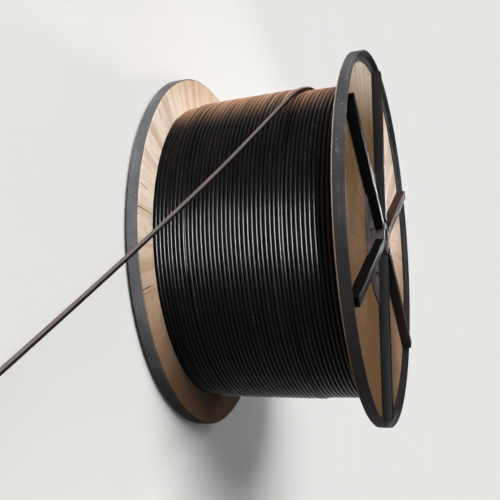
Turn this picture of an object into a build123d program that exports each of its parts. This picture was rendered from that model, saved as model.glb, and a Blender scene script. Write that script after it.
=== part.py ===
"""Steel and timber cable drum, full of cable, with one taut run leaving it.

Millimetres.  The drum stands on the spokes of its lower flange: +Z is its
axis, Z = 0 is the floor, and the origin is on the floor under the axis.
"""

import math
import os

from build123d import *

os.makedirs("parts", exist_ok=True)

# flanges and traverse
RIM_R = 1000.0          # outer radius of a rim hoop
INNER_WIDTH = 926.0     # between the inner faces of the flanges
FLANGE_EDGE = 62.0      # inner face of the boards to the hoop's outer edge
SPOKE_PROUD = 18.0      # spokes and bush stand this far out of the hoop
CLEAR = 0.5             # between neighbouring pieces

# rim hoop
BAND_START = 6.0        # edge of the boards left showing inside the band
BAND_T = 6.0
LEG_T = 6.0             # inward leg that lies on the boards
LEG_IN_R = 950.0

# boards
BOARD_T = 30.0
BOARD_COUNT = 48
BOARD_GAP = 2.0         # open joint between two boards
BOARD_IN_R = 262.0

# spokes
SPOKE_W = 52.0
SPOKE_WEB = 6.0
SPOKE_LEG = 6.0
SPOKE_IN_R = 98.0
SPOKE_OUT_R = 960.0     # they stop short of the band, on the hoop's leg
SPOKE_COUNT = 6
SPOKE_START_DEG = 45.0

# hub
HUB_PLATE_R = 360.0
HUB_PLATE_T = 6.0
BUSH_R = 85.0
BORE_R = 50.0

# barrel
BARREL_R = 500.0
BARREL_WALL = 8.0
END_PLATE_T = 10.0

# winding
CABLE_D = 21.6
LAYER = 19.0            # radial step of one layer
WIND_R = 855.0          # top layer, where the cable leaves it
WIND_LOW_R = 838.0      # first turns beside the lower flange
WIND_MID_R = 845.0      # where the top layer starts
TOP_START = 98.0        # top layer starts this far above the lower flange
TOP_END = 656.0         # and ends this far above it
RIB_COUNT = 6           # swells of a few turns each, over the whole winding
RIB_DEEP = 7.5          # hollow between two swells

# free cable
RUN_START_DEG = 186.0   # lifts off the layer below; about the axis, from +X
RUN_START_R = 853.0
RUN_CLIMB_DEG = 201.5   # passes over the edge of the top layer
RUN_CLIMB_R = 874.0
RUN_FAR = (289.0, -2526.0, -268.0)   # far end, from the middle of the drum
RUN_BOW = 42.0          # the taut run bows this far at its middle
GRIP_R = 17.0           # crimped sleeve of the pulling eye
GRIP_LEN = 95.0
EYE_R = 26.0
EYE_HOLE_R = 13.0
EYE_T = 14.0

HALF = INNER_WIDTH / 2.0
MID_Z = HALF + FLANGE_EDGE + SPOKE_PROUD
LEG_BACK = BOARD_T + CLEAR
SPOKE_TOE = LEG_BACK + LEG_T + CLEAR
OUTERMOST = FLANGE_EDGE + SPOKE_PROUD
BOARD_OUT_R = RIM_R - BAND_T - CLEAR


def export(name, shape):
    export_step(shape, f"parts/{name}.step")


def level(out, s):
    """Height of a station measured outward from the inner face of flange s."""
    return MID_Z + s * (HALF + out)


def turned(points):
    """Revolve an outline of (radius, height) pairs about the drum's axis."""
    with BuildPart() as part:
        with BuildSketch(Plane.XZ):
            with BuildLine():
                Polyline(*points, close=True)
            make_face()
        revolve(axis=Axis.Z)
    return part.part


def flange_turned(s, points):
    """The same, with each height given as a station of flange s."""
    return turned([(r, level(out, s)) for r, out in points])


def ring_of(shape, count, first=0.0):
    """Copies of a shape, evenly spaced about the drum's axis."""
    step = 360.0 / count
    return Compound(children=[Rot(0, 0, first + i * step) * shape for i in range(count)])


def slab(sketch, s, near, far):
    """A sketch made into a plate that fills the stations near to far of flange s."""
    low = min(level(near, s), level(far, s))
    return Pos(0, 0, low) * extrude(sketch, far - near)


def rim_hoop(s):
    """Band with an inward leg on the boards, rolled and welded into one hoop."""
    inside = RIM_R - BAND_T
    leg_face = LEG_BACK + LEG_T
    return flange_turned(s, [
        (RIM_R, BAND_START), (RIM_R, FLANGE_EDGE), (inside, FLANGE_EDGE),
        (inside, leg_face), (LEG_IN_R, leg_face), (LEG_IN_R, LEG_BACK),
        (inside, LEG_BACK), (inside, BAND_START)])


def flange_boards(s):
    """Radial boards, each with flanks parallel to the joints beside it."""
    half = math.radians(180.0 / BOARD_COUNT)
    gap = BOARD_GAP / 2.0

    def flank(r):
        return (r * math.cos(half) - gap * math.sin(half),
                r * math.sin(half) - gap * math.cos(half))

    inner_x, inner_y = flank(BOARD_IN_R)
    outer_x, outer_y = flank(BOARD_OUT_R)
    with BuildSketch() as outline:
        with BuildLine():
            Polyline((inner_x, -inner_y), (outer_x, -outer_y), (outer_x, outer_y),
                     (inner_x, inner_y), close=True)
        make_face()
    board = slab(outline.sketch, s, 0, BOARD_T)
    return ring_of(board, BOARD_COUNT)


def hub_plate(s):
    inner = BUSH_R + CLEAR
    outer_face = LEG_BACK + HUB_PLATE_T
    return flange_turned(s, [
        (inner, LEG_BACK), (HUB_PLATE_R, LEG_BACK), (HUB_PLATE_R, outer_face),
        (inner, outer_face)])


def hub_bush(s):
    return flange_turned(s, [
        (BORE_R, -END_PLATE_T), (BUSH_R, -END_PLATE_T), (BUSH_R, OUTERMOST),
        (BORE_R, OUTERMOST)])


def spokes(s):
    """Channels laid toes down, from the bush to the hoop's leg."""
    length = SPOKE_OUT_R - SPOKE_IN_R
    middle = SPOKE_IN_R + length / 2.0
    outer = slab(Pos(middle, 0) * Rectangle(length, SPOKE_W), s, SPOKE_TOE, OUTERMOST)
    hollow = slab(Pos(middle, 0) * Rectangle(length + 2, SPOKE_W - 2 * SPOKE_LEG),
                  s, SPOKE_TOE, OUTERMOST - SPOKE_WEB)
    return ring_of(outer - hollow, SPOKE_COUNT, SPOKE_START_DEG)


def barrel():
    """Tube with its two end plates."""
    bottom = MID_Z - HALF + CLEAR
    top = MID_Z + HALF - CLEAR
    hole = BUSH_R + CLEAR
    inside = BARREL_R - BARREL_WALL
    return turned([
        (hole, bottom), (BARREL_R, bottom), (BARREL_R, top), (hole, top),
        (hole, top - END_PLATE_T), (inside, top - END_PLATE_T),
        (inside, bottom + END_PLATE_T), (hole, bottom + END_PLATE_T)])


def winding_radius(along):
    """Radius over the turns at a height above the lower flange."""
    if along < TOP_START:
        return WIND_LOW_R
    if along > TOP_END:
        return WIND_R - LAYER
    share = (along - TOP_START) / (TOP_END - TOP_START)
    return WIND_MID_R + share * (WIND_R - WIND_MID_R)


def cable_winding():
    """All the layers of cable as one turned solid, ribbed as the turns bunch."""
    base = MID_Z - HALF
    bottom = base + CLEAR
    top = MID_Z + HALF - CLEAR
    bore = BARREL_R + CLEAR
    pitch = INNER_WIDTH / RIB_COUNT
    outline = [(bore, bottom), (WIND_LOW_R - RIB_DEEP, bottom)]
    for rib in range(RIB_COUNT):
        crest = (rib + 0.5) * pitch
        outline.append((winding_radius(crest), base + crest))
        if rib < RIB_COUNT - 1:
            hollow = crest + pitch / 2.0
            outline.append((winding_radius(hollow) - RIB_DEEP, base + hollow))
    outline += [(WIND_R - LAYER - RIB_DEEP, top), (bore, top)]
    return turned(outline)


def on_winding(radius, degrees, along):
    """A point about the drum's axis, its height counted from the lower flange."""
    a = math.radians(degrees)
    return Vector(radius * math.cos(a), radius * math.sin(a), MID_Z - HALF + along)


def run_route():
    """Points of the free cable, from the winding to its far end."""
    beside = TOP_END + CABLE_D / 2.0 + 3 * CLEAR
    start = on_winding(RUN_START_R, RUN_START_DEG, beside)
    climb = on_winding(RUN_CLIMB_R, RUN_CLIMB_DEG, beside)
    far = Vector(*RUN_FAR) + Vector(0, 0, MID_Z)
    bow = (climb + far) * 0.5 + Vector(RUN_BOW, 0, 0)
    return [start, climb, bow, far]


def run_path():
    """Straight runs joined by arcs as large as the runs allow."""
    route = run_route()
    radii = []
    for before, at, after in zip(route, route[1:], route[2:]):
        one, two = at - before, after - at
        half_turn = math.radians(one.get_angle(two) / 2.0)
        radii.append(0.45 * min(one.length, two.length) / math.tan(half_turn))
    print("cable run radii", [round(r) for r in radii])
    return FilletPolyline(*route, radius=radii)


def cable_run():
    path = run_path()
    section = Plane(origin=path @ 0, z_dir=path % 0) * Circle(CABLE_D / 2.0)
    run = sweep(section, path=path)
    print("cable run length", round(path.length), "volume over section",
          round(run.volume / section.area))
    return run


def pulling_eye():
    """Sleeve crimped on the cable's far end, with a flat eye."""
    path = run_path()
    at_end = Plane(origin=path @ 1, x_dir=(1, 0, 0), z_dir=path % 1)
    sleeve = Cylinder(GRIP_R, GRIP_LEN, align=(Align.CENTER, Align.CENTER, Align.MIN))
    shank_end = GRIP_LEN + EYE_R - 4.0
    outline = Pos(0, shank_end) * Circle(EYE_R) + Pos(0, shank_end - EYE_R) * Rectangle(
        2 * GRIP_R - 8.0, 2 * EYE_R)
    outline -= Pos(0, shank_end) * Circle(EYE_HOLE_R)
    eye = Rot(90, 0, 0) * extrude(outline, EYE_T / 2.0, both=True)
    return at_end.location * (sleeve + eye)


for s, name in ((-1, "lower"), (1, "upper")):
    export(f"{name}_rim_hoop", rim_hoop(s))
    export(f"{name}_flange_boards", flange_boards(s))
    export(f"{name}_hub_plate", hub_plate(s))
    export(f"{name}_hub_bush", hub_bush(s))
    export(f"{name}_spokes", spokes(s))
export("barrel", barrel())
export("cable_winding", cable_winding())
export("cable_run", cable_run())
export("pulling_eye", pulling_eye())
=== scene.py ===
"""Looks of a steel and timber cable drum that stands on its end, full of cable.

Metres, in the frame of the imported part: +Z is the drum's axis, Z = 0 the floor.
Stations of a flange are counted outward from the inner face of its boards.
"""

import logging
import math
import random
from dataclasses import dataclass, field
from enum import Enum
from typing import Sequence

import bmesh
import bpy
from mathutils import Matrix, Vector


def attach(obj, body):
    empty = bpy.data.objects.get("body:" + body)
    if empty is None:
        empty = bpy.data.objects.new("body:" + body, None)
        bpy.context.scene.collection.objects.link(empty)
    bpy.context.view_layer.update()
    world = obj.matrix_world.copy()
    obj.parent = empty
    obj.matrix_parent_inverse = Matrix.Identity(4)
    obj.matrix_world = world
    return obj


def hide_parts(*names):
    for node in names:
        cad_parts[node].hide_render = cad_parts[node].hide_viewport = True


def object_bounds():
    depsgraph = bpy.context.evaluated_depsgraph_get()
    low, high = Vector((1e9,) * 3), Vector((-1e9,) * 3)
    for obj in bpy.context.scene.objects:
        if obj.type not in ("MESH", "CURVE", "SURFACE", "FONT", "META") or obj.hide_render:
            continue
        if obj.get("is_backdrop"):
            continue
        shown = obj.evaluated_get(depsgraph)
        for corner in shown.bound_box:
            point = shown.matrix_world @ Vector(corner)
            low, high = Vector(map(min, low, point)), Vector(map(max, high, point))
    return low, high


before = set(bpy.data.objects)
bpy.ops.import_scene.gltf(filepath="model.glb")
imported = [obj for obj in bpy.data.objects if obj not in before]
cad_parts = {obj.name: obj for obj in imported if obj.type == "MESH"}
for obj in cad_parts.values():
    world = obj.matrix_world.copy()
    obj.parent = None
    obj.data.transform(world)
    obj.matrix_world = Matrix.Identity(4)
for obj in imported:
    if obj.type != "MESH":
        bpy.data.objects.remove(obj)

log = logging.getLogger("cable_drum")

Colour = Point = tuple[float, float, float]
Outline = Sequence[tuple[float, float]]

MID_Z = 0.543
ROUTE = (
    (-0.8424, -0.0885, 0.7483),
    (-0.8150, -0.3211, 0.7483),
    (-0.7057, -0.5236, 0.7048),
    (-0.2201, -1.4232, 0.5116),
    (0.2890, -2.5260, 0.2750),
)


class Wire:
    """One output of a shader node, with the arithmetic of numbers."""

    def __init__(self, graph: "Graph", socket: bpy.types.NodeSocket) -> None:
        """Keeps the socket and the graph that it belongs to."""
        self.graph = graph
        self.socket = socket

    def _math(self, operation: str, *terms: object, **settings: object) -> "Wire":
        """A math node on these terms."""
        return self.graph.node("ShaderNodeMath", dict(enumerate(terms)),
                               operation=operation, **settings)

    def __add__(self, other: object) -> "Wire":
        """Sum."""
        return self._math("ADD", self, other)

    def __radd__(self, other: object) -> "Wire":
        """Sum, turned round."""
        return self._math("ADD", other, self)

    def __sub__(self, other: object) -> "Wire":
        """Difference."""
        return self._math("SUBTRACT", self, other)

    def __rsub__(self, other: object) -> "Wire":
        """Difference, turned round."""
        return self._math("SUBTRACT", other, self)

    def __mul__(self, other: object) -> "Wire":
        """Product."""
        return self._math("MULTIPLY", self, other)

    def __pow__(self, other: object) -> "Wire":
        """Power."""
        return self._math("POWER", self, other)

    def __abs__(self) -> "Wire":
        """Size without its sign."""
        return self._math("ABSOLUTE", self)

    def sine(self) -> "Wire":
        """Sine of the value in radians."""
        return self._math("SINE", self)

    def step(self, low: float, high: float) -> "Wire":
        """0 at low, 1 at high, a smooth ramp between them; high may be below low."""
        return self.graph.node(
            "ShaderNodeMapRange", {"Value": self, "From Min": low, "From Max": high},
            interpolation_type="SMOOTHSTEP")

    def clamp(self) -> "Wire":
        """The value held between 0 and 1."""
        return self._math("ADD", self, 0.0, use_clamp=True)


class Graph:
    """The node tree of one material."""

    def __init__(self, name: str) -> None:
        """Starts a material that has only its shader.

        Args:
            name: the material's name.
        """
        self.material = bpy.data.materials.new(name)
        self.material.use_nodes = True
        self.tree = self.material.node_tree
        self.shader = self.tree.nodes["Principled BSDF"]

    def node(self, kind: str, inputs: dict[int | str, object] | None = None,
             output: int | str = 0, **settings: object) -> Wire:
        """Adds a node.

        Args:
            kind: the node's type.
            inputs: values or wires by socket name or number.
            output: the socket that comes back.
            **settings: the node's own properties.

        Returns:
            The chosen output.
        """
        made = self.tree.nodes.new(kind)
        for key, value in settings.items():
            setattr(made, key, value)
        for key, value in (inputs or {}).items():
            self.feed(made.inputs[key], value)
        return Wire(self, made.outputs[output])

    def feed(self, socket: bpy.types.NodeSocket, value: object) -> None:
        """Links a wire to a socket, or sets the socket's own value.

        Args:
            socket: an input of a node.
            value: a wire, or what the socket holds.
        """
        if isinstance(value, Wire):
            self.tree.links.new(value.socket, socket)
        else:
            socket.default_value = value

    def place(self) -> Wire:
        """Object coordinates."""
        return self.node("ShaderNodeTexCoord", output="Object")

    def flat(self) -> Wire:
        """The piece's own UV map."""
        return self.node("ShaderNodeTexCoord", output="UV")

    def parts(self, vector: Wire) -> tuple[Wire, Wire, Wire]:
        """The three parts of a vector."""
        split = self.node("ShaderNodeSeparateXYZ", {0: vector}).socket.node
        return tuple(Wire(self, out) for out in split.outputs)

    def noise(self, vector: Wire, scale: float, detail: float = 3.0,
              roughness: float = 0.55) -> Wire:
        """Smooth noise about 0.5."""
        return self.node("ShaderNodeTexNoise", {
            "Vector": vector, "Scale": scale, "Detail": detail, "Roughness": roughness})

    def grain(self, vector: Wire, scales: Sequence[float], detail: float = 3.0,
              roughness: float = 0.55) -> Wire:
        """Noise whose scale differs along the three parts of a vector."""
        scaled = self.node("ShaderNodeVectorMath", {0: vector, 1: tuple(scales)},
                           operation="MULTIPLY")
        return self.noise(scaled, 1.0, detail, roughness)

    def mix(self, factor: object, first: object, second: object) -> Wire:
        """Colour that goes from first to second, each a colour or a wire."""
        one, two = (end if isinstance(end, Wire) else (*end, 1.0) for end in (first, second))
        return self.node("ShaderNodeMix", {0: factor, 6: one, 7: two}, output=2,
                         data_type="RGBA")

    def bump(self, height: Wire, distance: float, strength: float) -> Wire:
        """Relief of a height from 0 to 1, over a distance in metres."""
        return self.node("ShaderNodeBump", {
            "Height": height, "Distance": distance, "Strength": strength})

    def dress(self, **sockets: object) -> bpy.types.Material:
        """Sets the shader's sockets.

        Args:
            **sockets: values or wires, with _ for a space in a socket's name.

        Returns:
            The material.
        """
        for name, value in sockets.items():
            self.feed(self.shader.inputs[name.replace("_", " ")], value)
        return self.material


@dataclass(frozen=True)
class Coat:
    """What every finish has: its sheen, and the depth and strength of its relief."""

    gloss: float = 0.03
    relief: float = 0.0006
    strength: float = 0.5
    metal: float = 0.0

    def dress(self, g: Graph, colour: Wire, bumps: Wire, roughness: Wire) -> bpy.types.Material:
        """The material, with its shader's sockets set."""
        return g.dress(Base_Color=colour, Metallic=self.metal, Specular_IOR_Level=self.gloss,
                       Normal=g.bump(bumps, self.relief, self.strength), Roughness=roughness)


@dataclass(frozen=True)
class HoopPaint(Coat):
    """Dark grey paint on rolled flat steel: paler on the lower hoop, partly scuffs and partly
    painted light, and near black towards +X and on the upper hoop, painted shade.
    """

    paint: Colour = (0.058, 0.055, 0.058)
    scuffed: Colour = (0.150, 0.147, 0.158)
    worn: Colour = (0.27, 0.265, 0.28)
    rust: Colour = (0.075, 0.048, 0.038)
    chip: Colour = (0.62, 0.61, 0.60)
    painted_shade: Colour = (0.015, 0.0110, 0.0105)
    streaks: Point = (2.2, 2.2, 70.0)
    relief: float = 0.0012

    def make(self) -> bpy.types.Material:
        """Builds the material.

        Returns:
            The material.
        """
        g = Graph("hoop_paint")
        place = g.place()
        streaks = g.grain(place, self.streaks, 4.0, 0.6)
        patches = g.noise(place, 5.0, 5.0, 0.6)
        fine = g.noise(place, 160.0, 2.0)
        wear = (streaks.step(0.50, 0.68) * patches.step(0.40, 0.62)).clamp()
        dirt = g.noise(place, 14.0, 6.0, 0.7).step(0.54, 0.74)
        stained, _, height = g.parts(place)
        # Paler on the lower hoop: painted light, with scuffs in patches on both hoops.
        scuffs_and_light = (height.step(0.95, 0.15) * 0.75 + patches.step(0.44, 0.60) * 0.3).clamp()
        colour = g.mix(scuffs_and_light, self.paint, self.scuffed)
        colour = g.mix(wear * 0.7, colour, self.worn)
        colour = g.mix(dirt * 0.75, colour, self.rust)
        # Painted shade: the paint goes near black towards +X and on the upper hoop.
        above = height.step(0.60, 1.00) * 0.75
        shade_mask = (stained + above).step(0.10, 0.80) * 0.92
        colour = g.mix(shade_mask, colour, self.painted_shade)
        chips = g.noise(place, 62.0, 2.0, 0.7).step(0.70, 0.73)
        colour = g.mix(chips * (1.0 - shade_mask), colour, self.chip)
        bumps = fine * 0.3 + streaks * 0.4 + patches * 0.3
        return self.dress(g, colour, bumps, 0.58 - wear * 0.14 + dirt * 0.2)


@dataclass(frozen=True)
class SpokePaint(Coat):
    """Near-black paint on rolled channel, dusty brown in places, and paler on its +Y half,
    painted light.
    """

    paint: Colour = (0.0030, 0.0023, 0.0023)
    dust_and_light: Colour = (0.055, 0.036, 0.027)
    gloss: float = 0.02
    relief: float = 0.0008

    def make(self) -> bpy.types.Material:
        """Builds the material.

        Returns:
            The material.
        """
        g = Graph("spoke_paint")
        place = g.place()
        cloud = g.noise(place, 4.0, 5.0, 0.62)
        grit = g.noise(place, 90.0, 3.0, 0.6)
        _, far, _ = g.parts(place)
        # Random dust, and a paler +Y half, which is painted light.
        dust_and_light = (cloud.step(0.50, 0.76) * 0.12 + grit.step(0.62, 0.80) * 0.08
                + far.step(0.0, 0.5) * 0.7).clamp()
        colour = g.mix(dust_and_light, self.paint, self.dust_and_light)
        return self.dress(g, colour, grit * 0.5 + cloud * 0.5, 0.55 + dust_and_light * 0.3)


@dataclass(frozen=True)
class PlateSteel(Coat):
    """Weathered dark plate with mauve-grey scale and rust."""

    scale: Colour = (0.038, 0.030, 0.031)
    pale: Colour = (0.105, 0.088, 0.092)
    rust: Colour = (0.085, 0.040, 0.022)
    gloss: float = 0.06
    relief: float = 0.001
    strength: float = 0.6

    def make(self) -> bpy.types.Material:
        """Builds the material.

        Returns:
            The material.
        """
        g = Graph("plate_steel")
        place = g.place()
        cloud = g.noise(place, 9.0, 6.0, 0.65)
        spots = g.noise(place, 38.0, 4.0, 0.6)
        colour = g.mix(cloud.step(0.42, 0.66), self.scale, self.pale)
        colour = g.mix(spots.step(0.56, 0.70) * 0.7, colour, self.rust)
        return self.dress(g, colour, cloud * 0.4 + spots * 0.6, 0.60 + spots * 0.2)


@dataclass(frozen=True)
class RawTimber(Coat):
    """Sawn softwood, its grain along each board's own UV map.

    It darkens to tan and then to dark brown towards +X, painted shade, and its inner faces are
    tan at the -X rim, painted shade; its outer faces are darker, painted shadow with some
    weathering, but paler on the +Y half and near -X, painted glare.
    """

    early: Colour = (0.92, 0.80, 0.685)
    late: Colour = (0.70, 0.55, 0.42)
    grey: Colour = (0.42, 0.35, 0.29)
    tan: Colour = (0.42, 0.250, 0.130)
    aged_and_shaded: Colour = (0.108, 0.051, 0.011)
    painted_shade: Colour = (0.100, 0.050, 0.022)
    split: Colour = (0.045, 0.024, 0.014)
    rings: float = 150.0
    ring_warp: float = 34.0
    ring_lean: float = 3.0
    outer_from: float = 0.466
    outer_to: float = 0.490
    relief: float = 0.0015
    strength: float = 0.6

    def make(self) -> bpy.types.Material:
        """Builds the material.

        Returns:
            The material.
        """
        g = Graph("raw_timber")
        flat = g.flat()
        tone = g.grain(flat, (0.0, 7.3, 1.0), 0.0)
        warp = g.grain(flat, (2.5, 9.0, 1.0))
        along, across, _ = g.parts(flat)
        rings = across * self.rings + warp * self.ring_warp + along * self.ring_lean
        bands = rings.sine() * 0.5 + 0.5
        fibre = g.grain(flat, (6.0, 420.0, 1.0), 3.0, 0.6)
        dirt = g.grain(flat, (3.0, 12.0, 1.0), 5.0, 0.65)
        place = g.place()
        damp = g.noise(place, 1.7, 4.0, 0.6)
        stained, far, height = g.parts(place)
        outer = abs(height - MID_Z).step(self.outer_from, self.outer_to)
        colour = g.mix((bands * 0.34 + fibre * 0.46).clamp(), self.early, self.late)
        colour = g.mix(tone.step(0.42, 0.66) * 0.48, colour, self.tan)
        colour = g.mix(dirt.step(0.56, 0.80) * 0.45, colour, self.grey)
        colour = g.mix(damp.step(0.52, 0.72) * 0.35, colour, self.grey)
        # Painted shade: tan at the -X rim of the inner faces, and more tan towards +X.
        rim_shade = stained.step(-0.80, -0.98) * (1.0 - outer) * 0.5
        colour = g.mix(stained.step(-0.45, 0.35) * 0.72 + rim_shade, colour, self.tan)
        # Painted glare: the outer faces stay pale on the +Y half and near -X.
        painted_glare = (far.step(0.15, 0.60) * 0.96 + stained.step(-0.60, -0.95) * 0.6).clamp()
        # Outer faces darker: painted shadow, with some weathering.
        colour = g.mix(outer * (0.72 + damp * 0.40) * (1.0 - painted_glare), colour, self.aged_and_shaded)
        # Painted shade: dark brown towards +X, less of it on the outer faces.
        plus_x_shade = stained.step(-0.10, 0.70) * (0.75 + damp * 0.4) * (1.0 - outer * 0.45)
        colour = g.mix(plus_x_shade, colour, self.painted_shade)
        crack = g.grain(flat, (1.9, 88.0, 1.0), 2.0, 0.5).step(0.670, 0.700)
        colour = g.mix(crack * 0.92, colour, self.split)
        bumps = fibre * 0.5 + bands * 0.15 - crack * 0.8
        return self.dress(g, colour, bumps, 0.80 + fibre * 0.15)


@dataclass(frozen=True)
class CableSheath(Coat):
    """Black plastic sheath; the crests of its turns on the -X side are brown, painted light
    with some dust.
    """

    sheath: Colour = (0.0030, 0.0028, 0.0031)
    dust_and_light: Colour = (0.58, 0.31, 0.180)
    haze: Colour = (0.0075, 0.0062, 0.0058)
    falloff: float = 1.6
    gloss: float = 0.08
    strength: float = 0.4

    def make(self) -> bpy.types.Material:
        """Builds the material, with brown painted light and dust on the crests of the turns.

        Returns:
            The material.
        """
        g = Graph("cable_sheath")
        place = g.place()
        _, round_turn, _ = g.parts(g.flat())
        crest = round_turn.step(0.86, 0.30)
        turns = g.grain(place, (1.4, 1.4, 46.0), 1.0, 0.5)
        cloud = g.grain(place, (3.0, 3.0, 9.0), 5.0, 0.6)
        specks = g.noise(place, 150.0, 2.0, 0.6)
        side, _, _ = g.parts(place)
        # Brown on the crests on the -X side: painted light, with some dust.
        lit_side = side.step(-0.62, -0.86) ** self.falloff
        dust_and_light = (lit_side * crest * (turns.step(0.25, 0.60) * 0.70 + cloud * 0.6)).clamp()
        grime = (cloud.step(0.46, 0.72) * 0.6 + turns.step(0.50, 0.64) * 0.5) * crest
        colour = g.mix((grime * 0.8).clamp(), self.sheath, self.haze)
        colour = g.mix(dust_and_light, colour, self.dust_and_light)
        scuffs = specks.step(0.66, 0.74) * turns.step(0.48, 0.62) * crest
        colour = g.mix(scuffs * 0.5, colour, self.dust_and_light)
        return self.dress(g, colour, cloud, 0.26 + dust_and_light * 0.40 + grime * 0.10)


@dataclass(frozen=True)
class RunSheath(Coat):
    """The same sheath in the free run, paler where it faces -X, painted light, and browner by
    the winding.
    """

    sheath: Colour = (0.006, 0.005, 0.005)
    dust_and_light: Colour = (0.20, 0.158, 0.150)
    brown: Colour = (0.46, 0.26, 0.16)
    gloss: float = 0.08
    relief: float = 0.0005
    strength: float = 0.4

    def make(self) -> bpy.types.Material:
        """Builds the material.

        Returns:
            The material.
        """
        g = Graph("run_sheath")
        place = g.place()
        cloud = g.noise(place, 7.0, 5.0, 0.6)
        facing, _, _ = g.parts(g.node("ShaderNodeNewGeometry", output="Normal"))
        _, away, _ = g.parts(place)
        # Paler where the surface faces -X: painted light, grey away from the winding and brown
        # near it.
        dust_and_light = facing.step(-0.25, -0.55) * (cloud * 0.5 + 0.40)
        lit_side = g.mix(away.step(-0.60, -0.15) * 0.85, self.dust_and_light, self.brown)
        colour = g.mix(dust_and_light.clamp(), self.sheath, lit_side)
        return self.dress(g, colour, cloud, 0.42 + dust_and_light * 0.25)


@dataclass(frozen=True)
class BareSteel(Coat):
    """Zinc-grey forged steel."""

    steel: Colour = (0.36, 0.36, 0.37)
    dull: Colour = (0.16, 0.15, 0.15)
    metal: float = 0.25
    gloss: float = 0.1

    def make(self) -> bpy.types.Material:
        """Builds the material.

        Returns:
            The material.
        """
        g = Graph("bare_steel")
        cloud = g.noise(g.place(), 40.0, 5.0, 0.6)
        colour = g.mix(cloud.step(0.38, 0.66), self.steel, self.dull)
        return self.dress(g, colour, cloud, 0.46 + cloud * 0.2)


class Finish(Enum):
    """Every finish on the drum."""

    HOOP = HoopPaint()
    SPOKE = SpokePaint()
    PLATE = PlateSteel()
    TIMBER = RawTimber()
    CABLE = CableSheath()
    RUN = RunSheath()
    STEEL = BareSteel()

    def material(self) -> bpy.types.Material:
        """The finish's material, made once.

        Returns:
            The material.
        """
        name = f"finish_{self.name.lower()}"
        if name not in bpy.data.materials:
            self.value.make().name = name
        return bpy.data.materials[name]


def added(name: str, data: bpy.types.ID) -> bpy.types.Object:
    """Makes an object and puts it in the scene.

    Args:
        name: the object's name.
        data: its mesh, curve, light or camera.

    Returns:
        The object.
    """
    made = bpy.data.objects.new(name, data)
    bpy.context.scene.collection.objects.link(made)
    return made


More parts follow.
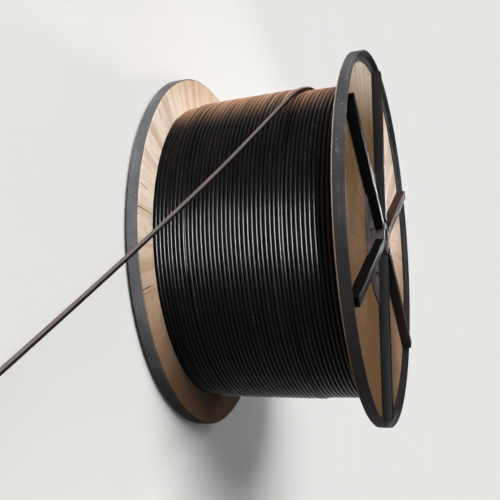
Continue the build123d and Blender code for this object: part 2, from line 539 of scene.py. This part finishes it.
class Shape:
    """A mesh in the making."""

    def __init__(self) -> None:
        """Starts with nothing."""
        self.bm = bmesh.new()

    def spun(self, verts: list[bmesh.types.BMVert], steps: int, merge: bool) -> dict:
        """Joins vertices into a loop and spins it a full circle about the drum's axis.

        Args:
            verts: the loop's vertices in order.
            steps: divisions of the circle.
            merge: whether the circle closes on its start.

        Returns:
            What the operator gives.
        """
        edges = [self.bm.edges.new(pair) for pair in zip(verts, verts[1:] + verts[:1])]
        return bmesh.ops.spin(self.bm, geom=verts + edges, cent=(0, 0, 0), axis=(0, 0, 1),
                              dvec=(0, 0, 0), angle=2.0 * math.pi, steps=steps,
                              use_merge=merge, use_duplicate=False)

    def turned(self, outline: Outline, steps: int = 192) -> "Shape":
        """Adds a closed outline of (radius, height) spun about the drum's axis."""
        self.spun([self.bm.verts.new((r, 0.0, z)) for r, z in outline], steps, True)
        return self.righted()

    def extruded(self, outline: Outline, depth: float) -> "Shape":
        """Adds an outline in X and Y made into a prism from Z = 0 up.

        Args:
            outline: its corners, counterclockwise.
            depth: height of the prism.

        Returns:
            This shape.
        """
        face = self.bm.faces.new([self.bm.verts.new((x, y, 0.0)) for x, y in outline])
        grown = bmesh.ops.extrude_face_region(self.bm, geom=[face], use_keep_orig=True)
        top = [v for v in grown["geom"] if isinstance(v, bmesh.types.BMVert)]
        bmesh.ops.translate(self.bm, verts=top, vec=(0.0, 0.0, depth))
        return self

    def box(self, low: Sequence[float], high: Sequence[float]) -> "Shape":
        """Adds a box.

        Args:
            low: its lowest corner.
            high: its highest corner.

        Returns:
            This shape.
        """
        middle = [(a + b) / 2.0 for a, b in zip(low, high)]
        size = [b - a for a, b in zip(low, high)]
        place = Matrix.Translation(middle) @ Matrix.Diagonal((*size, 1.0))
        bmesh.ops.create_cube(self.bm, size=1.0, matrix=place)
        return self

    def stud(self, radius: float, height: float, sides: int, taper: float = 0.92) -> "Shape":
        """Adds a bolt head or nail head that stands on Z = 0, a little narrower on top."""
        bmesh.ops.create_cone(self.bm, cap_ends=True, segments=sides, radius1=radius,
                              radius2=radius * taper, depth=height,
                              matrix=Matrix.Translation((0.0, 0.0, height / 2.0)))
        return self

    def eased(self, offset: float, segments: int = 2, over: float = 30.0) -> "Shape":
        """Bevels the edges that turn by more than an angle.

        Args:
            offset: width of the bevel.
            segments: divisions of the bevel.
            over: degrees.

        Returns:
            This shape.
        """
        self.righted()
        limit = math.radians(over)
        sharp = [e for e in self.bm.edges
                 if len(e.link_faces) == 2 and e.calc_face_angle(0.0) > limit]
        bmesh.ops.bevel(self.bm, geom=sharp, offset=offset, offset_type="OFFSET",
                        segments=segments, profile=0.5, affect="EDGES", material=-1,
                        clamp_overlap=True)
        return self

    def righted(self) -> "Shape":
        """Merges doubles and points every face outward.

        Returns:
            This shape.
        """
        bmesh.ops.remove_doubles(self.bm, verts=self.bm.verts, dist=1e-6)
        bmesh.ops.recalc_face_normals(self.bm, faces=self.bm.faces)
        return self

    def move(self, place: Matrix) -> None:
        """Moves the whole shape."""
        bmesh.ops.transform(self.bm, matrix=place, verts=self.bm.verts)

    def add_copy(self, other: "Shape", place: Matrix) -> None:
        """Adds a copy of another shape.

        Args:
            other: the shape to copy.
            place: where the copy goes.
        """
        scratch = bpy.data.meshes.new("scratch")
        other.bm.to_mesh(scratch)
        scratch.transform(place)
        self.bm.from_mesh(scratch)
        bpy.data.meshes.remove(scratch)

    def piece(self, name: str, finish: Finish, slot: str, *nodes: str,
              sharp: float = 35.0) -> bpy.types.Object:
        """Makes the object, dressed and riding on the drum.

        Args:
            name: the piece's name.
            finish: what it is finished in.
            slot: the record's material slot; not used.
            *nodes: CAD nodes that it stands for.
            sharp: degrees above which an edge is left crisp.

        Returns:
            The object.
        """
        limit = math.radians(sharp)
        self.bm.normal_update()
        for face in self.bm.faces:
            face.smooth = True
        for edge in self.bm.edges:
            edge.smooth = len(edge.link_faces) == 2 and edge.calc_face_angle(0.0) < limit
        mesh = bpy.data.meshes.new(name)
        self.bm.to_mesh(mesh)
        self.bm.free()
        mesh.materials.append(finish.material())
        made = added(name, mesh)
        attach(made, "root")
        if nodes:
            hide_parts(*nodes)
        log.info("%s: %d faces", name, len(mesh.polygons))
        return made


def wobble(angle: float, seed: float) -> float:
    """A smooth closed waver about the circle, between -1 and 1."""
    return (math.sin(3.0 * angle + seed) + 0.6 * math.sin(7.0 * angle + 2.1 * seed)
            + 0.4 * math.sin(13.0 * angle + 3.7 * seed)) / 2.0


class Side(Enum):
    """The two flanges, by the way their outer faces look."""

    LOWER = -1
    UPPER = 1


@dataclass(frozen=True)
class Drum:
    """Sizes that the whole drum shares."""

    rim_r: float = 1.000
    half: float = 0.463
    outermost: float = 0.080


@dataclass
class OnFlange:
    """What lies on one flange of the drum."""

    drum: Drum
    side: Side

    def level(self, out: float) -> float:
        """Height of a station of the flange."""
        return MID_Z + self.side.value * (self.drum.half + out)

    def turned(self, corners: Outline, steps: int = 192) -> Shape:
        """A section of (radius, station) spun about the drum's axis."""
        return Shape().turned([(radius, self.level(out)) for radius, out in corners], steps)

    def seat(self, radius: float, degrees: float, out: float) -> Matrix:
        """A place on the flange with X along the radius and Z out of the drum.

        Args:
            radius: from the drum's axis.
            degrees: about the axis.
            out: station.

        Returns:
            The place.
        """
        place = Matrix.Rotation(math.radians(degrees), 4, "Z") @ Matrix.Translation(
            (radius, 0.0, self.level(out)))
        if self.side is Side.LOWER:
            place = place @ Matrix.Rotation(math.pi, 4, "X")
        return place

    def piece(self, shape: Shape, name: str, finish: Finish, slot: str, *nodes: str,
              sharp: float = 35.0) -> None:
        """Makes an object; its name and those of its nodes start with the flange's."""
        name, *nodes = (f"{self.side.name.lower()}_{end}" for end in (name, *nodes))
        shape.piece(name, finish, slot, *nodes, sharp=sharp)


@dataclass
class RimHoop(OnFlange):
    """Steel band round a flange, with its inward leg on the boards."""

    start: float = 0.006
    edge: float = 0.062
    thick: float = 0.006
    leg_in_r: float = 0.950
    leg_near: float = 0.0305
    leg_far: float = 0.0365
    ease: float = 0.0012
    weld: float = 0.005
    weld_face: float = 0.0015
    dent: float = 0.0006
    seed: float = 1.3
    steps: int = 240

    def outline(self) -> list[tuple[float, float]]:
        """Corners of the section, with eased edges and a weld in the corner."""
        r, inside, ease = self.drum.rim_r, self.drum.rim_r - self.thick, self.ease
        return [
            (r - ease, self.start), (r, self.start + ease), (r, self.edge - ease),
            (r - ease, self.edge), (inside + ease, self.edge), (inside, self.edge - ease),
            (inside, self.leg_far + self.weld),
            (inside - self.weld_face, self.leg_far + self.weld_face),
            (inside - self.weld, self.leg_far), (self.leg_in_r + ease, self.leg_far),
            (self.leg_in_r, self.leg_far - ease), (self.leg_in_r, self.leg_near),
            (inside, self.leg_near), (inside, self.start)]

    def build(self) -> None:
        """Makes the hoop, with slight dents, all inward."""
        shape = self.turned(self.outline(), self.steps)
        for vert in shape.bm.verts:
            angle = math.atan2(vert.co.y, vert.co.x)
            push = -self.dent * (1.0 + wobble(angle, self.seed + self.side.value)) / 2.0
            vert.co += Vector((vert.co.x, vert.co.y, 0.0)).normalized() * push
        self.piece(shape, "hoop", Finish.HOOP, "hoop_steel", "rim_hoop")


@dataclass
class FlangeBoards(OnFlange):
    """Radial boards of a flange, each with its own grain, and their nails."""

    thick: float = 0.030
    count: int = 48
    tight: float = 0.0003
    gap: float = 0.0020
    inner_r: float = 0.262
    outer_r: float = 0.9935
    most_sunk: float = 0.0006
    ease: float = 0.0006
    eased_over: float = 60.0
    grain_shift: float = 40.0
    grain_fall: float = 0.6
    nail_r: float = 0.0045
    nail_t: float = 0.0012
    nail_sunk: float = 0.0004
    nail_sides: int = 10
    nail_rows: tuple[float, ...] = (0.565, 0.915)
    nail_aside: float = 0.25
    nail_off: float = 0.006
    seed: int = 11

    def board(self, rng: random.Random) -> Shape:
        """One board along X, shrunk more or less, with a UV map in metres.

        Args:
            rng: the flange's own source of chance.

        Returns:
            The board.
        """
        shape = Shape().box((-0.5, -0.5, 0.0), (0.5, 0.5, 1.0))
        sink = rng.uniform(0.0, self.most_sunk)
        shrunk = [self.tight + (self.gap - self.tight) * rng.random() ** 4 for _ in range(2)]
        tangent = math.tan(math.pi / self.count)
        for vert in shape.bm.verts:
            r = self.outer_r if vert.co.x > 0 else self.inner_r
            half = r * tangent - shrunk[vert.co.y > 0.0] / 2.0
            top = self.thick - sink if vert.co.z > 0.5 else 0.0
            if vert.co.x > 0:
                r = math.sqrt(self.outer_r ** 2 - half ** 2)
            vert.co = Vector((r, math.copysign(half, vert.co.y), top))
        shape.eased(self.ease, 1, self.eased_over)
        uv = shape.bm.loops.layers.uv.new("grain")
        shift = [rng.uniform(0.0, self.grain_shift) for _ in range(2)]
        for face in shape.bm.faces:
            for loop in face.loops:
                x, y, z = loop.vert.co
                loop[uv].uv = (x + shift[0], y + self.grain_fall * z + shift[1])
        return shape

    def nails(self, rng: random.Random) -> Shape:
        """Nail heads, one to a board in each row.

        Args:
            rng: the flange's own source of chance.

        Returns:
            The nail heads.
        """
        shape = Shape()
        head = Shape().stud(self.nail_r, self.nail_t, self.nail_sides)
        step = 360.0 / self.count
        out = self.thick - self.nail_sunk
        for row in self.nail_rows:
            for index in range(self.count):
                aside = rng.uniform(-self.nail_aside, self.nail_aside) * step
                radius = row + rng.uniform(-self.nail_off, self.nail_off)
                shape.add_copy(head, self.seat(radius, index * step + aside, out))
        head.bm.free()
        return shape.righted()

    def build(self) -> None:
        """Makes the boards and their nails."""
        rng = random.Random(self.seed + self.side.value)
        shape = Shape()
        for index in range(self.count):
            one = self.board(rng)
            shape.add_copy(one, self.seat(0.0, index * 360.0 / self.count, 0.0))
            one.bm.free()
        self.piece(shape, "boards", Finish.TIMBER, "timber", "flange_boards")
        self.piece(self.nails(rng), "nails", Finish.PLATE, "plate_steel")


@dataclass
class Hub(OnFlange):
    """Round plate bolted on the boards, and the bush through it."""

    plate_r: float = 0.360
    near: float = 0.0305
    plate_t: float = 0.006
    plate_ease: float = 0.001
    clear: float = 0.0005
    bush_r: float = 0.085
    bush_ease: float = 0.003
    bush_steps: int = 96
    bore_r: float = 0.050
    end_plate: float = 0.010
    bolts: int = 6
    bolt_r: float = 0.237
    first_bolt: float = 14.0
    washer_r: float = 0.022
    washer_t: float = 0.003
    washer_sunk: float = 0.0003
    washer_sides: int = 24
    head_r: float = 0.0165
    head_t: float = 0.013
    head_out: float = 0.0020

    def plate(self) -> Shape:
        """The plate, with its edge eased."""
        inner, far, ease = self.bush_r + self.clear, self.near + self.plate_t, self.plate_ease
        return self.turned([
            (inner, self.near), (self.plate_r, self.near), (self.plate_r, far - ease),
            (self.plate_r - ease, far), (inner, far)])

    def bush(self) -> Shape:
        """The bush, with chamfered mouth and rim."""
        low, high, ease = -self.end_plate, self.drum.outermost, self.bush_ease
        return self.turned([
            (self.bore_r, low), (self.bush_r, low), (self.bush_r, high - ease),
            (self.bush_r - ease, high), (self.bore_r + ease, high),
            (self.bore_r, high - ease)], self.bush_steps)

    def bolt_ring(self) -> Shape:
        """Hexagon heads on washers, clear of the spokes.

        Returns:
            All of them.
        """
        shape = Shape()
        far = self.near + self.plate_t
        parts = ((Shape().stud(self.washer_r, self.washer_t, self.washer_sides),
                  far - self.washer_sunk),
                 (Shape().stud(self.head_r, self.head_t, 6), far + self.head_out))
        for index in range(self.bolts):
            degrees = self.first_bolt + index * 360.0 / self.bolts
            for part, out in parts:
                shape.add_copy(part, self.seat(self.bolt_r, degrees, out))
        for part, _ in parts:
            part.bm.free()
        return shape.righted()

    def build(self) -> None:
        """Makes the plate, the bush and the bolts."""
        self.piece(self.plate(), "plate", Finish.PLATE, "plate_steel", "hub_plate")
        self.piece(self.bush(), "bush", Finish.PLATE, "plate_steel", "hub_bush")
        self.piece(self.bolt_ring(), "bolts", Finish.PLATE, "plate_steel", sharp=20.0)


@dataclass
class Spokes(OnFlange):
    """Channels laid toes down on a flange, welded to its hoop."""

    width: float = 0.052
    web: float = 0.006
    leg: float = 0.006
    toe: float = 0.037
    boards: float = 0.0302
    boards_from: float = 0.364
    boards_to: float = 0.946
    lap: float = 0.001
    inner_r: float = 0.098
    end_r: float = 0.960
    ease: float = 0.004
    corner: float = 0.3
    count: int = 6
    first: float = 45.0

    def section(self) -> list[tuple[float, float]]:
        """Corners of the channel: across the spoke, and out of the drum.

        Returns:
            The corners in order.
        """
        half, top, ease = self.width / 2.0, self.drum.outermost, self.ease
        inner, under, corner = half - self.leg, top - self.web, self.corner * ease
        return [
            (-half, self.toe), (-inner, self.toe), (-inner, under - ease),
            (-inner + ease, under), (inner - ease, under), (inner, under - ease),
            (inner, self.toe), (half, self.toe), (half, top - ease),
            (half - corner, top - corner), (half - ease, top), (-half + ease, top),
            (-half + corner, top - corner), (-half, top - ease)]

    def channel(self) -> Shape:
        """One channel along X, its web outward, its legs down to the boards.

        Returns:
            The channel.
        """
        shape = Shape().extruded(self.section(), self.end_r - self.inner_r)
        along_x = Matrix(((0, 0, 1, self.inner_r), (1, 0, 0, 0), (0, 1, 0, 0),
                          (0, 0, 0, 1)))
        shape.move(along_x)
        half = self.width / 2.0
        for sign in (-1.0, 1.0):
            low, high = sorted((sign * (half - self.leg), sign * half))
            shape.box((self.boards_from, low, self.boards),
                      (self.boards_to, high, self.toe + self.lap))
        return shape.righted()

    def build(self) -> None:
        """Makes the channels of a flange."""
        one = self.channel()
        shape = Shape()
        for index in range(self.count):
            degrees = self.first + index * 360.0 / self.count
            shape.add_copy(one, self.seat(0.0, degrees, 0.0))
        one.bm.free()
        self.piece(shape, "channels", Finish.SPOKE, "spoke_steel", "spokes")


@dataclass
class Turn:
    """One turn of the winding: the place of its centre."""

    along: float
    radius: float


@dataclass
class Winding:
    """The cable's turns side by side, one helix with a short crossover."""

    drum: Drum
    cable_r: float = 0.0108
    pitch: float = 0.02165
    layer: float = 0.019
    bore: float = 0.5005
    low_r: float = 0.835
    low_drop: float = 0.004
    low_rise: float = 0.0012
    low_turns: range = range(-1, 4)
    first_along: float = 0.0130
    mid_r: float = 0.845
    top_r: float = 0.855
    top_start: float = 0.1010
    back: float = 0.0055
    back_turns: int = 4
    lift: float = 0.003
    lift_within: float = 0.05
    leaving: float = 0.6683
    leaving_r: float = 0.8470
    leaves_at: float = 186.0
    slack: float = 0.013
    seam: float = -154.0
    cross_from: float = 62.0
    cross_over: float = 40.0
    waver_r: float = 0.0005
    waver_along: float = 0.0004
    beats: tuple[float, float] = (1.7, 2.63)
    still_from: float = 100.0
    clear: float = 0.0006
    weld: float = 2e-5
    steps: int = 168
    arc: float = 86.0
    arc_points: int = 7
    map_turns: float = 64.0
    turns: list[Turn] = field(default_factory=list)
    last_top: int = 0
    shape: Shape = field(default_factory=Shape)

    def lay(self) -> None:
        """Lists the turns from the lower flange to the upper one."""
        for index in self.low_turns:
            radius = self.low_r - self.low_drop + self.low_rise * index - self.cable_r
            self.turns.append(Turn(self.first_along + self.pitch * index, radius))
        count = round((self.leaving - self.top_start - self.cable_r) / self.pitch)
        for index in range(count):
            share = index / count
            radius = self.mid_r + (self.top_r - self.mid_r) * share - self.cable_r
            back = self.back if index < self.back_turns else 0.0
            along = self.leaving - self.pitch * (count - index) - back
            self.turns.append(Turn(along, radius))
        self.last_top = len(self.turns) - 1
        along = self.leaving - self.pitch / 2.0
        width = 2.0 * self.drum.half
        while along < width + self.pitch:
            lift = self.lift if along > width - self.lift_within else 0.0
            radius = self.top_r - self.layer - self.cable_r + lift
            self.turns.append(Turn(along, radius))
            along += self.pitch

    def centre(self, index: int, degrees: float) -> tuple[float, float]:
        """Centre of a turn's section at an angle about the axis.

        Args:
            index: the turn.
            degrees: from the seam's angle to a full circle on.

        Returns:
            Radius and place along the axis.
        """
        here = self.turns[index]
        there = self.turns[min(index + 1, len(self.turns) - 1)]
        along_next = there.along if there is not here else here.along + self.pitch
        share = min(max((degrees - self.cross_from) / self.cross_over, 0.0), 1.0)
        share = share * share * (3.0 - 2.0 * share)
        to_radius, to_along = there.radius, along_next
        if index == self.last_top and degrees < self.leaves_at + 1.0:
            to_radius, to_along = self.leaving_r, self.leaving
        radius = here.radius + (to_radius - here.radius) * share
        if index > self.last_top:
            radius += self.slack * (0.5 + 0.5 * math.cos(math.radians(degrees))) ** 2
        along = here.along + (to_along - here.along) * share
        turned = math.radians(degrees) + 2.0 * math.pi * index
        waver = math.sin(self.beats[0] * turned) + math.sin(self.beats[1] * turned + 1.0)
        if index >= self.last_top - 1 and degrees > self.still_from:
            waver = 0.0
        return radius + self.waver_r * waver, along + self.waver_along * waver

    def section(self) -> list[bmesh.types.BMVert]:
        """Starts the section, each vertex marked with its turn and its angle on it.

        Returns:
            The section's vertices in order.
        """
        bm = self.shape.bm
        which = bm.verts.layers.int.new("turn")
        tilt = bm.verts.layers.float.new("tilt")
        base = MID_Z - self.drum.half
        verts = []
        for index, turn in enumerate(self.turns):
            for step in range(self.arc_points):
                angle = math.radians(-self.arc + 2.0 * self.arc * step / (self.arc_points - 1))
                along = turn.along + self.cable_r * math.sin(angle)
                radius = turn.radius + self.cable_r * math.cos(angle)
                vert = bm.verts.new((radius, 0.0, base + along))
                vert[which], vert[tilt] = index, angle
                verts.append(vert)
        for end in (verts[-1], verts[0]):
            vert = bm.verts.new((self.bore, 0.0, end.co.z))
            vert[which] = -1
            verts.append(vert)
        return verts

    def wind(self) -> None:
        """Spins the section from the seam and moves each vertex to its place."""
        bm, verts = self.shape.bm, self.section()
        bmesh.ops.rotate(bm, verts=verts, cent=(0, 0, 0),
                         matrix=Matrix.Rotation(math.radians(self.seam), 3, "Z"))
        last = set(self.shape.spun(verts, self.steps, False)["geom_last"])
        which = bm.verts.layers.int["turn"]
        tilt = bm.verts.layers.float["tilt"]
        base = MID_Z - self.drum.half
        low, high = base + self.clear, base + 2.0 * self.drum.half - self.clear
        for vert in bm.verts:
            degrees = math.degrees(math.atan2(vert.co.y, vert.co.x))
            if vert in last:
                degrees = self.seam + 360.0
            elif degrees < self.seam - 0.5:
                degrees += 360.0
            angle = math.radians(degrees)
            radius, height = self.bore, vert.co.z
            if vert[which] >= 0:
                radius, along = self.centre(vert[which], degrees)
                radius += self.cable_r * math.cos(vert[tilt])
                height = base + along + self.cable_r * math.sin(vert[tilt])
            height = min(max(height, low), high)
            vert.co = Vector((radius * math.cos(angle), radius * math.sin(angle), height))

    def unwrap(self) -> None:
        """Maps the turns: which turn along U, and from crest to groove along V."""
        bm = self.shape.bm
        which = bm.verts.layers.int["turn"]
        tilt = bm.verts.layers.float["tilt"]
        uv = bm.loops.layers.uv.new("round_turn")
        for loop in (loop for face in bm.faces for loop in face.loops):
            turn, angle = loop.vert[which], loop.vert[tilt]
            aside = abs(angle) / math.radians(self.arc) if turn >= 0 else 1.0
            loop[uv].uv = (max(turn, 0) / self.map_turns, aside)

    def build(self) -> None:
        """Makes the winding as one mesh."""
        self.lay()
        self.wind()
        bm = self.shape.bm
        bmesh.ops.remove_doubles(bm, verts=bm.verts, dist=self.weld)
        bmesh.ops.recalc_face_normals(bm, faces=bm.faces)
        self.unwrap()
        self.shape.piece("winding_turns", Finish.CABLE, "cable_sheath", "cable_winding",
                         sharp=75.0)


@dataclass
class TautRun:
    """The free cable that leaves the winding, and the eye that holds it taut."""

    drum: Drum
    diameter: float = 0.0216
    length: float = 2.743
    route: tuple[Point, ...] = ROUTE
    grip_r: float = 0.017
    grip_len: float = 0.095
    grip_bore: float = 0.0112
    grip_ease: float = 0.003
    grip_lip: float = 0.002
    crimps: int = 4
    crimp_first: float = 0.014
    crimp_pitch: float = 0.022
    crimp_deep: float = 0.0016
    crimp_ends: Point = (0.003, 0.011, 0.014)
    eye_r: float = 0.026
    eye_t: float = 0.014
    eye_ease: float = 0.002
    eye_in: float = 0.004
    hole_r: float = 0.013
    hole_ease: float = 0.0015
    neck_half: float = 0.012
    neck_top: float = 0.010
    grip_steps: int = 32
    eye_steps: int = 40

    def curve(self) -> bpy.types.Object:
        """The cable on its line.

        Returns:
            The cable.
        """
        line = bpy.data.curves.new("taut_cable", "CURVE")
        line.dimensions = "3D"
        spline = line.splines.new("NURBS")
        spline.points.add(len(self.route) - 1)
        for point, place in zip(spline.points, self.route):
            point.co = (*place, 1.0)
        spline.order_u = 3
        spline.use_endpoint_u = True
        line.resolution_u = 24
        line.bevel_depth = self.diameter / 2.0
        line.bevel_resolution = 6
        line.use_fill_caps = True
        line.materials.append(Finish.RUN.material())
        made = added("taut_cable", line)
        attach(made, "root")
        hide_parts("cable_run")
        return made

    def sleeve(self) -> Shape:
        """The sleeve along Z, with its crimped rings.

        Returns:
            The sleeve.
        """
        r, long, deep = self.grip_r, self.grip_len, self.grip_r - self.crimp_deep
        sunk, risen, end = self.crimp_ends
        section = [(self.grip_bore, 0.0), (r - self.grip_lip, 0.0), (r, self.grip_ease)]
        for ring in range(self.crimps):
            start = self.crimp_first + self.crimp_pitch * ring
            section += [(r, start), (deep, start + sunk), (deep, start + risen),
                        (r, start + end)]
        section += [(r, long - self.grip_ease), (r - self.grip_ease, long),
                    (self.grip_bore, long)]
        return Shape().turned(section, self.grip_steps)

    def ring(self) -> Shape:
        """The eye's ring about Z, with its edges eased.

        Returns:
            The ring.
        """
        half, quarter = self.eye_t / 2.0, self.eye_t / 4.0
        hole, rim = self.hole_r + self.hole_ease, self.eye_r - self.eye_ease
        return Shape().turned([
            (hole, -half), (rim, -half), (self.eye_r, -quarter), (self.eye_r, quarter),
            (rim, half), (hole, half), (self.hole_r, quarter), (self.hole_r, -quarter)],
            self.eye_steps)

    def eye(self) -> bpy.types.Object:
        """The sleeve on the cable's end, and the flat eye beyond it.

        Returns:
            The eye.
        """
        end, before = Vector(self.route[-1]), Vector(self.route[-2])
        forward = (end - before).normalized()
        across = forward.cross(Vector((1.0, 0.0, 0.0))).normalized()
        side = across.cross(forward).normalized()
        place = Matrix.Translation(end) @ Matrix(
            (side, across, forward)).transposed().to_4x4()
        half, long = self.neck_half, self.grip_len
        neck = Shape().box((-half, -self.eye_t / 2.0, -half),
                           (half, self.eye_t / 2.0, self.neck_top)).eased(self.grip_ease)
        centre = Matrix.Translation((0.0, 0.0, long + self.eye_r - self.eye_in))
        shape = Shape()
        for part, seat in (
                (self.sleeve(), Matrix.Identity(4)),
                (self.ring(), centre @ Matrix.Rotation(math.pi / 2.0, 4, "X")),
                (neck, Matrix.Translation((0.0, 0.0, long)))):
            shape.add_copy(part, seat)
            part.bm.free()
        shape.move(place)
        return shape.piece("eye_fitting", Finish.STEEL, "eye_steel", "pulling_eye")

    def build(self) -> None:
        cable = self.curve()
        eye = self.eye()
        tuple(self.route[0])


@dataclass(frozen=True)
class Lamp:
    """A soft lamp: a rectangle of this size that looks at the drum, or else a sun.

    Its spread is in degrees, and its power in watts, for a sun to a square metre.
    """

    name: str
    place: Point
    power: float
    spread: float
    colour: Colour = (1.0, 1.0, 1.0)
    size: tuple[float, float] | None = None
    only_gloss: bool = False
    aim: Point = (0.0, 0.0, 0.5)

    def build(self) -> None:
        """Hangs the lamp."""
        light = bpy.data.lights.new(self.name, "AREA" if self.size else "SUN")
        light.energy = self.power
        light.color = self.colour
        made = added(self.name, light)
        toward = -Vector(self.place)
        if self.size:
            light.shape = "RECTANGLE"
            light.size, light.size_y = self.size
            light.spread = math.radians(self.spread)
            made.visible_camera = False
            made.visible_diffuse = not self.only_gloss
            toward += Vector(self.aim)
        else:
            light.angle = math.radians(self.spread)
            made.visible_glossy = False
        made.matrix_world = Matrix.Translation(self.place) @ toward.to_track_quat(
            "-Z", "Y").to_matrix().to_4x4()


LAMPS = (
    Lamp("key", (-0.66, -0.36, 0.66), 3.9, 40.0, (1.0, 0.99, 0.975)),
    Lamp("fill", (0.75, 0.35, 0.55), 0.12, 40.0, (1.0, 0.95, 0.90)),
    Lamp("streaks", (-1.00, -5.3, 4.2), 4800.0, 180.0, (0.94, 0.96, 1.0), (3.6, 0.30), True),
    Lamp("back", (-0.4, 4.8, 1.68), 14.0, 60.0, size=(0.6, 0.5)),
)


@dataclass
class Studio:
    """Floor, lamps and the camera."""

    place: Vector = field(default_factory=lambda: Vector((-0.0983, -4.5107, 1.7381)))
    right: Vector = field(default_factory=lambda: Vector((0.07967, 0.41193, 0.90772)))
    up: Vector = field(default_factory=lambda: Vector((-0.99672, 0.04576, 0.06672)))
    lens: float = 58.57
    sensor: float = 36.0
    shift: float = 0.2
    sight: float = 2000.0
    floor_half: float = 700.0
    floor_pale: Colour = (0.82, 0.82, 0.81)
    floor_dull: Colour = (0.78, 0.78, 0.77)
    air: Colour = (0.80, 0.82, 0.85)
    air_strength: float = 0.20

    def camera(self) -> None:
        """The camera at the photograph's place."""
        lens = bpy.data.cameras.new("camera")
        lens.lens = self.lens
        lens.shift_x = self.shift
        lens.sensor_width = self.sensor
        lens.clip_end = self.sight
        made = added("camera", lens)
        back = self.right.cross(self.up).normalized()
        up = back.cross(self.right).normalized()
        turn = Matrix((self.right.normalized(), up, back)).transposed()
        made.matrix_world = Matrix.Translation(self.place) @ turn.to_4x4()
        bpy.context.scene.camera = made

    def floor(self) -> None:
        """A plain pale floor."""
        shape = Shape()
        bmesh.ops.create_grid(shape.bm, x_segments=1, y_segments=1, size=self.floor_half)
        mesh = bpy.data.meshes.new("floor")
        shape.bm.to_mesh(mesh)
        shape.bm.free()
        g = Graph("floor")
        cloud = g.noise(g.place(), 0.7, 2.0)
        mesh.materials.append(g.dress(
            Base_Color=g.mix(cloud, self.floor_dull, self.floor_pale),
            Roughness=0.8, Specular_IOR_Level=0.0))
        added("floor", mesh)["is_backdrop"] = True

    def build(self) -> None:
        """Sets the stage."""
        self.camera()
        self.floor()
        for lamp in LAMPS:
            lamp.build()
        world = bpy.data.worlds.new("world")
        world.use_nodes = True
        background = world.node_tree.nodes["Background"]
        background.inputs["Color"].default_value = (*self.air, 1.0)
        background.inputs["Strength"].default_value = self.air_strength
        bpy.context.scene.world = world
        bpy.context.scene.view_settings.view_transform = "Standard"


def carry_over() -> None:
    """Dresses the CAD node that stays: the barrel under the winding."""
    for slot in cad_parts["barrel"].material_slots:
        slot.material = Finish.PLATE.material()


def main() -> None:
    """Builds the drum piece by piece."""
    logging.basicConfig(level=logging.INFO, format="%(name)s: %(message)s")
    cad_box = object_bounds()
    Studio().build()
    drum = Drum()
    TautRun(drum).build()
    Winding(drum).build()
    for side in Side:
        RimHoop(drum, side).build()
        FlangeBoards(drum, side).build()
        Hub(drum, side).build()
        Spokes(drum, side).build()
    carry_over()
    boxes = {"cad": cad_box, "visual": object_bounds()}
    plain = {key: [list(map(float, corner)) for corner in box]
             for key, box in boxes.items()}
    log.info("sizes %s", plain)


if __name__ == "__main__":
    main()
